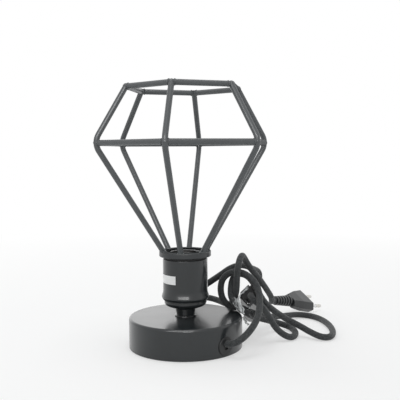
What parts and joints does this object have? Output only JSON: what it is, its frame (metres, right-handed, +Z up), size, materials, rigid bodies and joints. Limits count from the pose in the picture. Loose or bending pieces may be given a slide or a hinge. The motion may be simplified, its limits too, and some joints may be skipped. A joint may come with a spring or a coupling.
{
  "type": "table lamp",
  "caption": "Black table lamp with a weighted round base, a lampholder in a metal cup, an open diamond-shaped rod cage, and a textile cord with an in-line switch and a flat plug.",
  "frame": {"origin": "centre of the round base, on the table", "axes": "+Z up along the lamp's axis; the picture's camera looks along +Y with +X to its right"},
  "size_m": [0.2436, 0.2452, 0.2562],
  "materials": {
    "black_coat": "satin",
    "dark_washer": "matt",
    "black_plastic": "satin",
    "rocker_plastic": "gloss",
    "ceramic": "gloss",
    "nickel": "bright",
    "brass": "bright",
    "steel": "plain",
    "iron": "cast",
    "felt": "felt",
    "braid": "braided",
    "lead_insulation": "satin",
    "film": "clear",
    "sticker": "satin",
    "pin_sleeve": "satin"
  },
  "bodies": {
    "lamp": {"ballast": "iron", "base_plate": "steel", "base_shell": "black_coat", "cage_washer": "dark_washer", "cord_gland": "black_plastic", "cord_lamp": "braid", "cord_plug": "braid", "cord_tie": "film", "cup_cap": "black_coat", "cup_label": "sticker", "foot_pad": "felt", "gland_nut": "black_plastic", "holder_sleeve": "black_plastic", "insulator": "ceramic", "lead_live": "lead_insulation", "lead_neutral": "lead_insulation", "neck": "black_coat", "plate_screws": "nickel", "plug_body": "black_plastic", "plug_pins": "nickel", "plug_relief": "black_plastic", "plug_sleeves": "pin_sleeve", "rocker_pin": "nickel", "socket_cup": "black_coat", "stem": "steel", "stem_nut_lower": "steel", "stem_nut_upper": "steel", "stem_washer": "steel", "switch_contacts": "brass", "switch_lower": "black_plastic", "switch_screws": "nickel", "switch_upper": "black_plastic", "terminal_plate": "black_plastic", "terminal_screws": "nickel", "thread_shell": "nickel"},
    "cage": {"cage_collar": "black_coat", "cage_rib_1": "black_coat", "cage_rib_2": "black_coat", "cage_rib_3": "black_coat", "cage_rib_4": "black_coat", "cage_rib_5": "black_coat", "cage_rib_6": "black_coat", "cage_top_bar_1": "black_coat", "cage_top_bar_2": "black_coat", "cage_top_bar_3": "black_coat", "cage_top_bar_4": "black_coat", "cage_top_bar_5": "black_coat", "cage_top_bar_6": "black_coat", "cage_waist_bar_1": "black_coat", "cage_waist_bar_2": "black_coat", "cage_waist_bar_3": "black_coat", "cage_waist_bar_4": "black_coat", "cage_waist_bar_5": "black_coat", "cage_waist_bar_6": "black_coat"},
    "rocker": {"switch_rocker": "rocker_plastic", "rocker_contact": "brass"},
    "contact": {"centre_contact": "brass"}
  },
  "joints": [
    {"name": "cage_unscrew", "type": "hinge", "parent": "lamp", "child": "cage", "pos_m": [0, 0, 0.0923], "axis": [0, 0, 1], "continuous": true},
    {"name": "rocker_tilt", "type": "hinge", "parent": "lamp", "child": "rocker", "pos_m": [0.06436, 0.03966, 0.04448], "axis": [-0.7265, -0.0904, -0.6812], "range_deg": [0, 16]},
    {"name": "contact_flex", "type": "hinge", "parent": "lamp", "child": "contact", "pos_m": [-0.0078, 0, 0.0668], "axis": [0, 1, 0], "range_deg": [0, 10], "stiffness_Nm_per_rad": 0.05}
  ]
}
